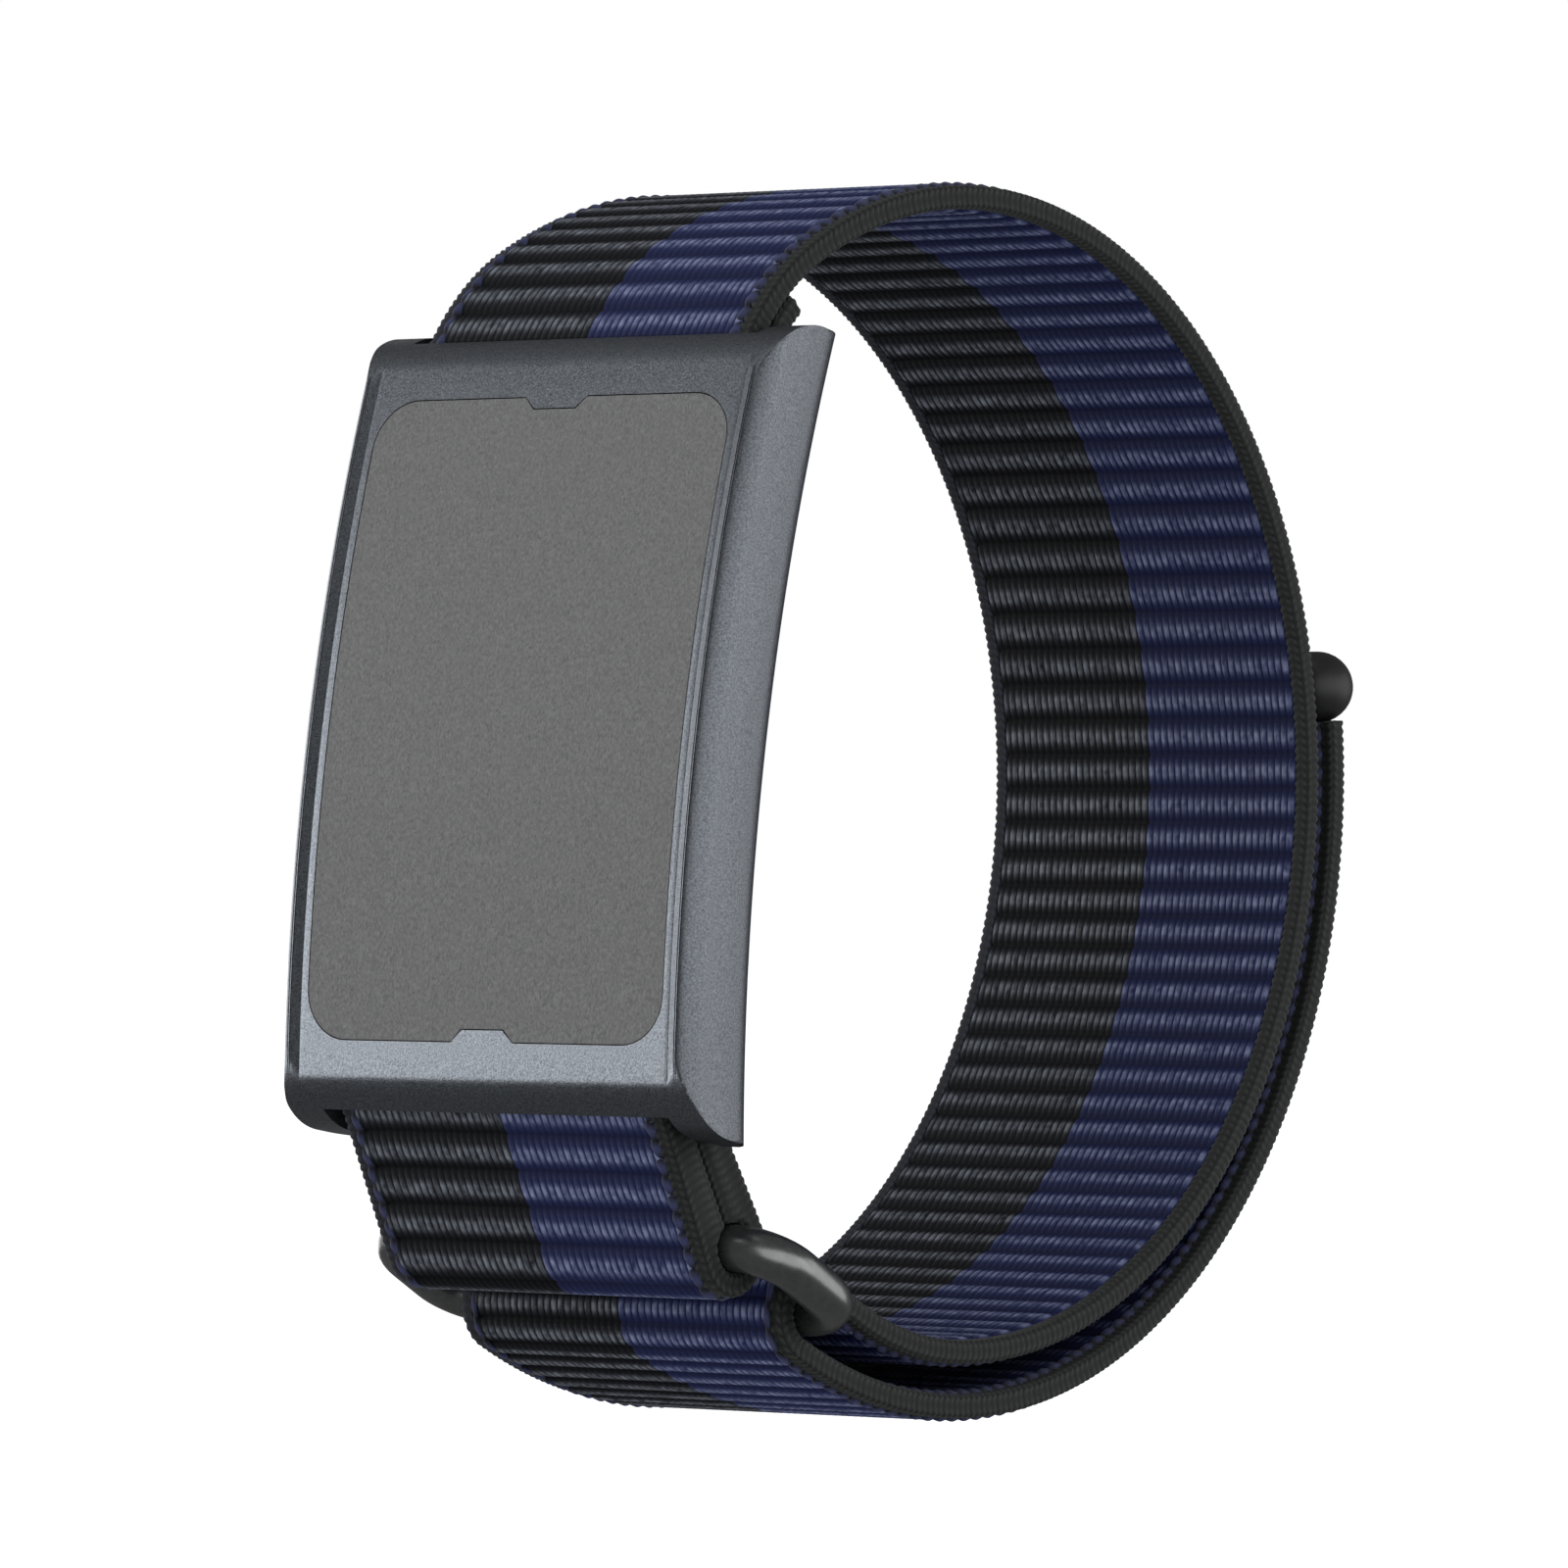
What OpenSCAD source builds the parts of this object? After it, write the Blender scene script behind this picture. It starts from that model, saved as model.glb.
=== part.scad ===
// Fitness tracker band: a curved sensor module in a metal carrier, worn on a looped webbing
// strap that passes through an oval ring and closes on itself with a hook-and-loop tail.
// Origin: centre of the wrist. +X runs along the wrist, the case faces -Y, +Z is up.

/* [Case] */
// Width of the metal carrier along the wrist
case_w = 25.8; // [24.5:0.1:28]
// Length of the carrier from end to end
case_l = 39.5; // [38:0.5:44]
// Thickness of the carrier from crest to back
case_t = 5.6; // [5.4:0.1:6.5]
// Radius of the long curve of the case front
front_r = 116; // [100:1:150]
// Radius of the rolled ends
end_r = 3.9; // [3.4:0.1:4.2]
// Distance from the wrist centre to the crest of the case
case_reach = 22.4; // [22:0.1:24]
// Lean of the case from upright
lean = 10.4; // [8:0.1:12]
// Shift of the case along its own length
case_shift = 0.2; // [0:0.1:0.5]

/* [Front panel] */
// Width of the grey panel
panel_w = 22; // [20:0.1:22.4]
// Length of the grey panel
panel_l = 31.6; // [30:0.1:32]
// Corner radius of the panel
panel_r = 2.4; // [1.5:0.1:3]
// Gap round the panel
panel_gap = 0.06; // [0.04:0.01:0.15]
// Width of each pry notch at its mouth
notch_w = 3.85; // [3:0.05:5]
// Depth of each pry notch
notch_d = 0.6; // [0.4:0.05:0.8]

/* [Strap] */
// Width of the webbing
strap_w = 20; // [18:0.5:20.5]
// Thickness of the webbing
strap_t = 1.2; // [1:0.1:1.3]
// Width of the knitted binding along each edge
binding_w = 0.7; // [0.5:0.1:1]
// Radius of the strap's main loop
loop_r = 28.5; // [28:0.1:29]
// Radius of the strap where it bends down to the case
shoulder_r = 14; // [12:0.5:16]
// Radius of the strap where it comes in over the ring
heel_r = 20; // [16:0.5:24]
// Angle above the horizontal at which the tail ends
tail_end = 5.2; // [0:0.2:20]

/* [Ring and bars] */
// Wire radius of the oval ring
wire_r = 1.15; // [1:0.05:1.2]
// Half width of the ring, to the middle of its wire
ring_half = 12.2; // [11.8:0.1:13]
// Bend radius at the corners of the ring
ring_bend = 2.4; // [2:0.1:3]
// Radius of the spring bars that hold the strap in the case
bar_r = 0.65; // [0.6:0.05:0.75]
// Free play between a bar and the webbing round it
bar_play = 0.05; // [0.03:0.01:0.1]
// Free play between the ring's lower bar and the strap round it
ring_play = 0.15; // [0.1:0.01:0.3]
// Radius of the pull bar at the tail's end
pull_r = 1.85; // [1.5:0.05:2]

/* [Hidden] */
$fn = 96;
eps = 0.01;

// ---- case layout, in the case's own frame: -Y out of the wrist, Z along the case ----
face_drop = 0.2;          // the front face lies this far below the crest of its two rims
rim_w = 0.85;             // each rim, from the carrier's side to the sunken face
crown_r = 0.8;            // rounding from rim to cheek
roll_r = 2;               // rounding from cheek to back
arc_y = front_r - case_reach;               // middle of the long curve
end_y = arc_y - sqrt(pow(front_r - end_r, 2) - pow(case_l / 2 - end_r, 2));
arc_turn = asin((case_l / 2 - end_r) / (front_r - end_r));
bar_out = 18.1;           // spring bars: distance out from the wrist centre
bar_up = 17.2;            // spring bars: distance from the case's middle
bar_half = 11.15;         // spring bar tube, half length
slot_half = 10.75;        // strap slot, half width
pin_r = 0.35;
pin_out = 0.9;            // how far a pin stands out of its tube
module_w = 20.8;
module_l = 28.6;
module_wall = 0.6;
front_depth = face_drop;                    // depths below the crest, from the front inwards
panel_t = 1.0;
panel_back = front_depth + panel_t;
cover_depth = 4.7;
bump_t = 1.6;             // how far the sensor bump stands proud of the back
bump_w = 15;
bump_l = 17;
contact_z = -10.6;
thermistor_z = 10.8;

// ---- strap layout, in the YZ plane ----
function unit(v) = v / norm(v);
function turned(v) = [-v[1], v[0]];
// the point at distance a from p and b from q, on the left of the line p to q when side is 1
function meet(p, q, a, b, side) =
    let (d = norm(q - p), u = (q - p) / d, x = (d * d + a * a - b * b) / (2 * d),
         h = sqrt(max(0, a * a - x * x)))
    p + x * u + side * h * turned(u);
function angle_of(v) = atan2(v[1], v[0]);
// a point of the case's own frame in the YZ plane of the wrist frame
function case_point(out, up) =
    [-out * cos(lean) + (up + case_shift) * sin(lean), out * sin(lean) + (up + case_shift) * cos(lean)];

loop_c = [3.0, 1.3];                        // middle of the main loop
tail_c = [2.7, 1.25];                       // middle of the tail's curve
top_bar = case_point(bar_out, bar_up);
bottom_bar = case_point(bar_out, -bar_up);
tab_bar = [-16.6, -21.4];                   // ring's upper bar, in the tab
ring_bar = [-10.63, -24.75];                // ring's lower bar, in the strap
eye_r = bar_r + bar_play;                   // inside radius of webbing round a spring bar
eye_mid = eye_r + strap_t / 2;
wrap_r = wire_r + ring_play;                // inside radius of the strap round the ring
wrap_mid = wrap_r + strap_t / 2;
tab_eye = wire_r + bar_play;
shoulder_c = meet(loop_c, top_bar, loop_r - shoulder_r, shoulder_r - eye_mid, -1);
heel_c = meet(loop_c, ring_bar, loop_r - heel_r, heel_r + wrap_mid, 1);
tail_r = norm(ring_bar - tail_c) + wrap_mid;
// joints between the stretches, as directions from each arc's middle
eye_front = angle_of(top_bar - shoulder_c);
shoulder_top = angle_of(shoulder_c - loop_c);
heel_start = angle_of(heel_c - loop_c);
heel_end = angle_of(ring_bar - heel_c);
wrap_end = angle_of(ring_bar - tail_c);
wrap_top = 120;                             // the strap ends here on its way round the ring
wrap_split = 180;                           // the tail starts at the wrap's far left
sewn_turn = 200;                            // the fold turns this far, so its end closes on the strap
sewn_r = shoulder_r - strap_t - 0.05;       // the folded-back end then follows the shoulder
sewn_l = 1.6;                               // length of that last stretch
strap_half = strap_w / 2;
core_half = strap_half - binding_w;
pull_mid = tail_c + (tail_r + 0.35) * [cos(tail_end + 3.2), sin(tail_end + 3.2)];

case_grey = [0.36, 0.39, 0.43];
panel_grey = [0.42, 0.42, 0.41];
webbing = [0.13, 0.16, 0.33];
edging = [0.17, 0.18, 0.18];
steel = [0.72, 0.73, 0.75];
dark_plastic = [0.13, 0.13, 0.14];
thread = [0.10, 0.11, 0.16];

// ---- helpers for the case ----
module in_case() rotate([-lean, 0, 0]) translate([0, 0, case_shift]) children();

// a side profile (Y, Z) given the width w along X
module across(w) rotate([90, 0, 90]) linear_extrude(w, center = true) children();

// a plan outline (X, Z) pushed through the case along Y
module through() rotate([90, 0, 0]) linear_extrude(200, center = true) children();

// everything between two depths below the crest
module layer(from, to, w = 40)
    across(w) translate([arc_y, 0]) difference() {
        circle(front_r - from, $fn = 360);
        circle(front_r - to, $fn = 360);
    }

module rounded(w, l, r) {
    square([w - 2 * r, l], center = true);
    square([w, l - 2 * r], center = true);
    for (x = [-1, 1], y = [-1, 1]) translate([x * (w / 2 - r), y * (l / 2 - r)]) circle(r);
}

// a curved plate with rounded corners: its plan, and the depths of its two faces
module curved_plate(w, l, r, from, to, up = 0) intersection() {
    translate([0, 0, up]) through() rounded(w, l, r);
    layer(from, to);
}

// a place on the long curve: across, along, and depth below the crest; -Y points outwards there
module on_arc(x, z, depth) translate([x, arc_y, 0]) rotate([-asin(z / (front_r - depth)), 0, 0])
    translate([0, depth - front_r, 0]) children();

// outline of the panel with its two pry notches
module panel_outline(grow = 0) difference() {
    rounded(panel_w + 2 * grow, panel_l + 2 * grow, panel_r + grow);
    for (s = [-1, 1]) polygon([
        [-notch_w / 2, s * (panel_l / 2 + grow + eps)], [notch_w / 2, s * (panel_l / 2 + grow + eps)],
        [notch_w / 2 - notch_d - grow, s * (panel_l / 2 - notch_d + grow)],
        [-notch_w / 2 + notch_d + grow, s * (panel_l / 2 - notch_d + grow)]]);
}

// side view of the carrier: long front curve, rolled ends, flat ends at the back
module end_profile() {
    intersection() {
        translate([arc_y, 0]) circle(front_r, $fn = 360);
        polygon([[arc_y, 0], [arc_y - 2 * front_r * cos(arc_turn), 2 * front_r * sin(arc_turn)],
                 [arc_y - 2 * front_r * cos(arc_turn), -2 * front_r * sin(arc_turn)]]);
    }
    for (s = [-1, 1]) translate([end_y, s * (case_l / 2 - end_r)]) circle(end_r);
    translate([end_y, -case_l / 2]) square([20, case_l]);
}

// section across the carrier, radius by width: crowned rims, rolled back edges
module case_section() {
    r0 = front_r - case_t;
    translate([r0, -case_w / 2 + roll_r]) square([case_t, case_w - 2 * roll_r]);
    translate([r0 + roll_r, -case_w / 2]) square([case_t - roll_r - crown_r, case_w]);
    for (s = [-1, 1]) {
        translate([r0 + roll_r, s * (case_w / 2 - roll_r)]) circle(roll_r);
        translate([front_r - crown_r, s * (case_w / 2 - crown_r)]) circle(crown_r);
        translate([r0 + roll_r, s * (case_w / 2 - 1.45) - 0.65]) square([case_t - roll_r, 1.3]);
    }
}

// slot for the strap at one end: a bore round the spring bar, opening through end and back
module strap_slot() {
    across(2 * slot_half) translate([-bar_out, bar_up]) {
        circle(eye_r + strap_t + 0.15);
        polygon([[-2.05, 0], [-1.05, 3.4], [6, 3.4], [6, -2.05], [0, -2.05]]);
    }
}

module carrier_frame() color(case_grey) in_case() difference() {
    intersection() {
        translate([0, arc_y, 0]) rotate([-90, 0, 0]) rotate([0, 90, 0]) rotate([0, 0, -12])
            rotate_extrude(angle = 24, $fn = 360) case_section();
        across(case_w + 2) end_profile();
    }
    // sunken front face between the rims
    layer(-1, face_drop, case_w - 2 * rim_w);
    // window for the panel, and the opening for the module
    intersection() {
        through() panel_outline(panel_gap);
        layer(-1, panel_back + 0.05);
    }
    intersection() {
        through() rounded(module_w + 0.2, module_l + 0.2, 2.1);
        layer(0.5, 12);
    }
    for (s = [0, 1]) mirror([0, 0, s]) {
        strap_slot();
        translate([0, -bar_out, bar_up]) rotate([0, 90, 0])
            cylinder(r = pin_r + 0.05, h = case_w - 1.1, center = true, $fn = 32);
    }
}

module front_panel() color(panel_grey) in_case() intersection() {
    through() panel_outline();
    layer(front_depth, panel_back);
}

module panel_gasket() color([0.05, 0.05, 0.05]) in_case() difference() {
    curved_plate(module_w - 0.2, module_l - 0.2, 1.9, panel_back, panel_back + 0.25);
    through() rounded(module_w - 1.4, module_l - 1.4, 1.3);
}

module module_chassis() color(dark_plastic) in_case() difference() {
    union() {
        difference() {
            curved_plate(module_w, module_l, 2, panel_back + 0.25, cover_depth);
            through() rounded(module_w - 2 * module_wall, module_l - 2 * module_wall, 1.4);
        }
        intersection() {
            through() for (x = [-1, 1], z = [-1, 1]) translate([x * 9.4, z * 13.1]) circle(1.25);
            curved_plate(module_w - 0.4, module_l - 0.4, 1.8, 2, cover_depth);
        }
    }
    for (x = [-1, 1], z = [-1, 1]) screw_place(x, z) cylinder(r = 0.42, h = 3, center = true, $fn = 24);
}

module screw_place(x, z) on_arc(x * 9.2, z * 12.9, cover_depth + 0.2) rotate([90, 0, 0]) children();

module rear_cover() color(dark_plastic) in_case() difference() {
    union() {
        curved_plate(module_w, module_l, 2, cover_depth, case_t);
        curved_plate(bump_w, bump_l, 4, case_t - 0.3, case_t + bump_t);
    }
    // hollow bump and the window seat
    curved_plate(bump_w - 2, bump_l - 2, 3, cover_depth - 1, case_t + bump_t - 0.8);
    window_shape(11.04, case_t + bump_t - 2);
    for (x = [-3, 3]) on_arc(x, contact_z, case_t) rotate([90, 0, 0])
        cylinder(r = 0.9, h = 4, center = true, $fn = 32);
    on_arc(0, thermistor_z, case_t) rotate([90, 0, 0]) cylinder(r = 1.0, h = 4, center = true, $fn = 32);
    for (x = [-1, 1], z = [-1, 1]) screw_place(x, z) {
        cylinder(r = 0.45, h = 3, center = true, $fn = 24);
        translate([0, 0, -2.25]) cylinder(r = 0.85, h = 2, $fn = 24);
    }
}

module window_shape(d, from) translate([0, -case_reach + from, 0]) rotate([-90, 0, 0])
    cylinder(r = d / 2, h = 4, $fn = 64);

module sensor_window() color([0.10, 0.10, 0.11]) in_case() intersection() {
    window_shape(11, case_t + bump_t - 0.8);
    layer(0, case_t + bump_t);
}

module optical_barrier() color([0.04, 0.04, 0.04]) in_case() difference() {
    translate([0, -case_reach + 5.3, 0]) rotate([-90, 0, 0]) cylinder(r = 5.2, h = 1.05, $fn = 64);
    for (x = [-3, 0, 3]) translate([x, -case_reach + 5, 0]) cube([2, 4, 2.4], center = true);
    for (z = [-1, 1]) translate([0, -case_reach + 5, z * 3.2]) cube([5.4, 4, 2], center = true);
}

module sensor_chip(x, z, w, l, tint) color(tint) in_case()
    translate([x, -case_reach + 5.65, z]) cube([w, 0.7, l], center = true);

module led_left() sensor_chip(-3, 0, 1.5, 1.8, [0.3, 0.9, 0.4]);
module led_middle() sensor_chip(0, 0, 1.5, 1.8, [0.85, 0.25, 0.25]);
module led_right() sensor_chip(3, 0, 1.5, 1.8, [0.3, 0.9, 0.4]);
module photodiode_top() sensor_chip(0, 3.2, 4.8, 1.6, [0.15, 0.15, 0.35]);
module photodiode_bottom() sensor_chip(0, -3.2, 4.8, 1.6, [0.15, 0.15, 0.35]);

module sensor_board() color([0.10, 0.35, 0.18]) in_case()
    translate([0, -case_reach + 5.05, 0]) cube([11, 0.4, 12.4], center = true);

module battery_cell() color([0.65, 0.66, 0.68]) in_case()
    curved_plate(18.6, 15.4, 1, 1.6, 3.3, up = -3.9);

module main_board() color([0.08, 0.30, 0.16]) in_case()
    curved_plate(16.6, 23, 1, 3.95, 4.45);

module shield_can() color([0.78, 0.78, 0.76]) in_case()
    translate([2.5, 0, 0]) curved_plate(9, 6.5, 0.4, 2.4, 3.95, up = 8.4);

module board_flex() color([0.80, 0.50, 0.15]) in_case()
    translate([4.5, -case_reach + 4.68, 1.5]) cube([3, 0.2, 3], center = true);

module antenna_strip() color([0.80, 0.62, 0.30]) in_case() difference() {
    curved_plate(18.8, 26.6, 1, 1.5, 1.58);
    through() rounded(17.4, 25.2, 0.6);
    through() translate([0, -20]) square([2, 20], center = true);
}

module vibration_motor() color(steel) in_case() on_arc(-5.6, 8.4, 2.3) rotate([-90, 0, 0])
    cylinder(r = 2.4, h = 1.55, $fn = 48);

module skin_thermistor() color([0.75, 0.72, 0.66]) in_case() on_arc(0, thermistor_z, 4.8)
    rotate([-90, 0, 0]) cylinder(r = 0.9, h = 0.85, $fn = 32);

module charge_contact(x) color([0.85, 0.68, 0.35]) in_case() on_arc(x, contact_z, 4.6)
    rotate([-90, 0, 0]) {
        cylinder(r = 0.85, h = 0.55, $fn = 32);
        cylinder(r = 0.6, h = 1.05, $fn = 32);
    }
module charge_contact_left() charge_contact(-3);
module charge_contact_right() charge_contact(3);

module cover_screw(x, z) color(steel) in_case() screw_place(x, z) difference() {
    union() {
        translate([0, 0, -0.7]) cylinder(r = 0.8, h = 0.45, $fn = 24);
        translate([0, 0, -0.3]) cylinder(r = 0.38, h = 1.2, $fn = 24);
    }
    translate([0, 0, -1]) cylinder(r = 0.35, h = 0.5, $fn = 6);
}
module cover_screw_tl() cover_screw(-1, 1);
module cover_screw_tr() cover_screw(1, 1);
module cover_screw_bl() cover_screw(-1, -1);
module cover_screw_br() cover_screw(1, -1);

// ---- spring bars ----
module bar_tube(at) translate([0, at[0], at[1]]) rotate([0, 90, 0]) color(steel) difference() {
    cylinder(r = bar_r, h = 2 * 10.7, center = true, $fn = 48);
    cylinder(r = pin_r + 0.05, h = 30, center = true, $fn = 32);
}
module bar_spring(at) translate([0, at[0], at[1]]) rotate([0, 90, 0]) color([0.6, 0.6, 0.62])
    difference() {
        cylinder(r = pin_r, h = 2 * 7.2, center = true, $fn = 32);
        cylinder(r = pin_r - 0.12, h = 30, center = true, $fn = 32);
    }
// a pin runs in the tube and stands out into the carrier's cheek
module bar_pin(at, side) translate([0, at[0], at[1]]) rotate([0, side * 90, 0]) color(steel)
    translate([0, 0, 8.8]) cylinder(r = pin_r, h = 10.7 + pin_out - 8.8, $fn = 32);
module top_bar_tube() bar_tube(top_bar);
module top_bar_spring() bar_spring(top_bar);
module top_pin_near() bar_pin(top_bar, 1);
module top_pin_far() bar_pin(top_bar, -1);
module bottom_bar_tube() bar_tube(bottom_bar);
module bottom_bar_spring() bar_spring(bottom_bar);
module bottom_pin_near() bar_pin(bottom_bar, 1);
module bottom_pin_far() bar_pin(bottom_bar, -1);

// ---- webbing ----
// a stretch of band of radius r about c, between two directions, from inner to outer offset
module band(c, r, a0, a1, lo = -strap_t / 2, hi = strap_t / 2) translate(c) {
    far = 3 * r;
    steps = ceil(abs(a1 - a0) / 60);
    intersection() {
        difference() {
            circle(r + hi, $fn = r > 10 ? 360 : 96);
            circle(r + lo, $fn = r > 10 ? 360 : 96);
        }
        polygon(concat([[0, 0]],
            [for (i = [0:steps]) far * [cos(a0 + (a1 - a0) * i / steps), sin(a0 + (a1 - a0) * i / steps)]]));
    }
}

// points along an arc, after its first
function arc(c, r, a0, a1) = let(n = ceil(abs(a1 - a0) / (r > 5 ? 4 : 10)))
    [for (i = [1:n]) c + r * [cos(a0 + (a1 - a0) * i / n), sin(a0 + (a1 - a0) * i / n)]];

// one side of the strap: out from the tip of the folded-back end, round the top spring bar,
// down the shoulder, round the loop and the heel, and into the wrap round the ring
sewn_start = eye_front + sewn_turn;
sewn_out = [cos(sewn_start), sin(sewn_start)];
sewn_along = turned(sewn_out);
// how far the end runs straight before it meets the shoulder's inner layer
sewn_from = top_bar + eye_mid * sewn_out - shoulder_c;
sewn_b = sewn_from * sewn_along;
sewn_straight = -sewn_b + sqrt(sewn_b * sewn_b + sewn_r * sewn_r - sewn_from * sewn_from);
sewn_join = angle_of(sewn_from + sewn_straight * sewn_along);
sewn_tip = sewn_join - sewn_l / sewn_r * 180 / PI;
function strap_side(off) = concat(
    [shoulder_c + (sewn_r - off) * [cos(sewn_tip), sin(sewn_tip)]],
    arc(shoulder_c, sewn_r - off, sewn_tip, sewn_join - 3),
    [top_bar + (eye_mid + off) * sewn_out + 0.15 * sewn_straight * sewn_along,
     top_bar + (eye_mid + off) * sewn_out],
    arc(top_bar, eye_mid + off, sewn_start, eye_front),
    arc(shoulder_c, shoulder_r + off, eye_front, shoulder_top),
    arc(loop_c, loop_r + off, shoulder_top, heel_start),
    arc(heel_c, heel_r + off, heel_start, heel_end),
    arc(ring_bar, wrap_mid - off, heel_end + 180, wrap_top - 0.5));

module strap_2d() {
    inner = strap_side(-strap_t / 2);
    polygon(concat(strap_side(strap_t / 2), [for (i = [len(inner) - 1:-1:0]) inner[i]]));
}

// the short fold between strap and tail, which the ring lets out as the tail is peeled
module fold_2d() band(ring_bar, wrap_mid, wrap_top, wrap_split - 0.2);

module tail_2d(lo = -strap_t / 2, hi = strap_t / 2) {
    band(ring_bar, wrap_mid, wrap_split, wrap_end + 360, lo, hi);
    band(tail_c, tail_r, wrap_end, tail_end, lo, hi);
}

// the tab: one closed fold of webbing round the bottom spring bar and the ring's upper bar
tab_dir = unit(tab_bar - bottom_bar);
tab_len = norm(tab_bar - bottom_bar);
tab_a = eye_r + strap_t;
tab_b = tab_eye + strap_t;
tab_slope = asin((tab_b - tab_a) / tab_len);
tab_in_a = tab_a - eps;
tab_in_b = tab_b - eps;
// one part of the tab's side view, drawn with the upper bar at the origin and the lower along X
module tab_place() translate(bottom_bar) rotate(angle_of(tab_dir)) children();
module tab_sides() tab_place() polygon([
    [-tab_in_a * sin(tab_slope), tab_in_a * cos(tab_slope)],
    [tab_len - tab_in_b * sin(tab_slope), tab_in_b * cos(tab_slope)],
    [tab_len - tab_in_b * sin(tab_slope), -tab_in_b * cos(tab_slope)],
    [-tab_in_a * sin(tab_slope), -tab_in_a * cos(tab_slope)]]);
module tab_round(along, r) tab_place() translate([along, 0]) circle(r);
module tab_solid(w) difference() {
    union() {
        across(w) tab_round(0, tab_a);
        across(w) tab_round(tab_len, tab_b);
        across(w) tab_sides();
    }
    across(w + 2) tab_round(0, eye_r);
    across(w + 2) tab_round(tab_len, tab_eye);
}

// the strap's woven core, and the two knitted bindings beside it
module woven() color(webbing) across(2 * core_half) children();
module at_edge(side) color(edging) translate([side * (strap_half - binding_w / 2), 0, 0]) children();
module binding(side) at_edge(side) across(binding_w) children();

module long_strap() woven() strap_2d();
module strap_binding_near() binding(1) strap_2d();
module strap_binding_far() binding(-1) strap_2d();
module ring_fold() woven() fold_2d();
module fold_binding_near() binding(1) fold_2d();
module fold_binding_far() binding(-1) fold_2d();
module tail_strap() woven() tail_2d();
module tail_binding_near() binding(1) tail_2d();
module tail_binding_far() binding(-1) tail_2d();
module short_tab() color(webbing) tab_solid(2 * core_half);
module tab_binding_near() at_edge(1) tab_solid(binding_w);
module tab_binding_far() at_edge(-1) tab_solid(binding_w);

// pile on the outside of the strap, which the tail's hook patch grips
module loop_pile() color([0.09, 0.10, 0.20]) across(15)
    band(loop_c, loop_r, -64, 4, strap_t / 2 + eps, strap_t / 2 + 0.3);
module hook_patch() color([0.05, 0.05, 0.06]) across(15)
    band(tail_c, tail_r, -52, tail_end - 1, -strap_t / 2 - 0.45, -strap_t / 2);

// rows of thread that close each fold
module stitch_row(at, dir, width) translate([0, at[0], at[1]]) rotate([dir - 90, 0, 0])
    for (x = [-width / 2:1.6:width / 2]) translate([x, 0, 0]) cube([1.0, 0.22, 0.3], center = true);
module sewn_end_stitching() color(thread) {
    for (a = [sewn_tip + 1.3, sewn_tip + 3.4]) stitch_row(
        shoulder_c + (sewn_r - strap_t / 2 - 0.18) * [cos(a), sin(a)], a + 90, 17);
}
module tab_stitching() color(thread) {
    n = turned(tab_dir);
    for (d = [3.4, 4.6]) stitch_row(bottom_bar + d * tab_dir
        - (tab_a + d / tab_len * (tab_b - tab_a) + 0.12) * n, angle_of(tab_dir), 17);
}

// ---- oval ring ----
module ring_corner() rotate_extrude(angle = 90) translate([ring_bend, 0]) circle(wire_r, $fn = 48);
module oval_ring() color([0.30, 0.31, 0.32]) {
    span = norm(ring_bar - tab_bar);
    straight = ring_half - ring_bend;
    mid = (ring_bar + tab_bar) / 2;
    translate([0, mid[0], mid[1]]) rotate([angle_of(ring_bar - tab_bar), 0, 0]) {
        for (s = [-1, 1]) {
            translate([0, s * span / 2, 0]) rotate([0, 90, 0])
                cylinder(r = wire_r, h = 2 * straight, center = true, $fn = 48);
            translate([s * ring_half, 0, 0]) rotate([90, 0, 0])
                cylinder(r = wire_r, h = span - 2 * ring_bend, center = true, $fn = 48);
        }
        for (sx = [0, 1], sy = [0, 1]) mirror([sx, 0, 0]) mirror([0, sy, 0])
            translate([straight, span / 2 - ring_bend, 0]) ring_corner();
    }
}

// ---- pull bar at the tail's end ----
module pull_bar() color(dark_plastic) difference() {
    translate([0, pull_mid[0], pull_mid[1]]) rotate([0, 90, 0]) {
        cylinder(r = pull_r, h = 2 * (strap_half + 0.5 - pull_r), center = true, $fn = 64);
        for (s = [-1, 1]) translate([0, 0, s * (strap_half + 0.5 - pull_r)]) sphere(r = pull_r, $fn = 64);
    }
    across(strap_w + 4) band(tail_c, tail_r, tail_end - 20, tail_end, -strap_t / 2, strap_t / 2);
}
module pull_bar_stitching() color(thread)
    stitch_row(tail_c + (tail_r + strap_t / 2 + 0.1) * [cos(tail_end - 4.6), sin(tail_end - 4.6)],
        tail_end - 4.6 + 90, 17);

carrier_frame();
front_panel();
panel_gasket();
module_chassis();
rear_cover();
battery_cell();
main_board();
shield_can();
sensor_board();
board_flex();
antenna_strip();
vibration_motor();
optical_barrier();
sensor_window();
led_left();
led_middle();
led_right();
photodiode_top();
photodiode_bottom();
skin_thermistor();
charge_contact_left();
charge_contact_right();
cover_screw_tl();
cover_screw_tr();
cover_screw_bl();
cover_screw_br();
top_bar_tube();
top_bar_spring();
top_pin_near();
top_pin_far();
bottom_bar_tube();
bottom_bar_spring();
bottom_pin_near();
bottom_pin_far();
long_strap();
strap_binding_near();
strap_binding_far();
loop_pile();
sewn_end_stitching();
ring_fold();
fold_binding_near();
fold_binding_far();
short_tab();
tab_binding_near();
tab_binding_far();
tab_stitching();
oval_ring();
tail_strap();
tail_binding_near();
tail_binding_far();
hook_patch();
pull_bar();
pull_bar_stitching();
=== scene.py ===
"""Looks of a fitness tracker band: a bead-blasted case on a ribbed, bound strap with an oval ring."""

import math

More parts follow.
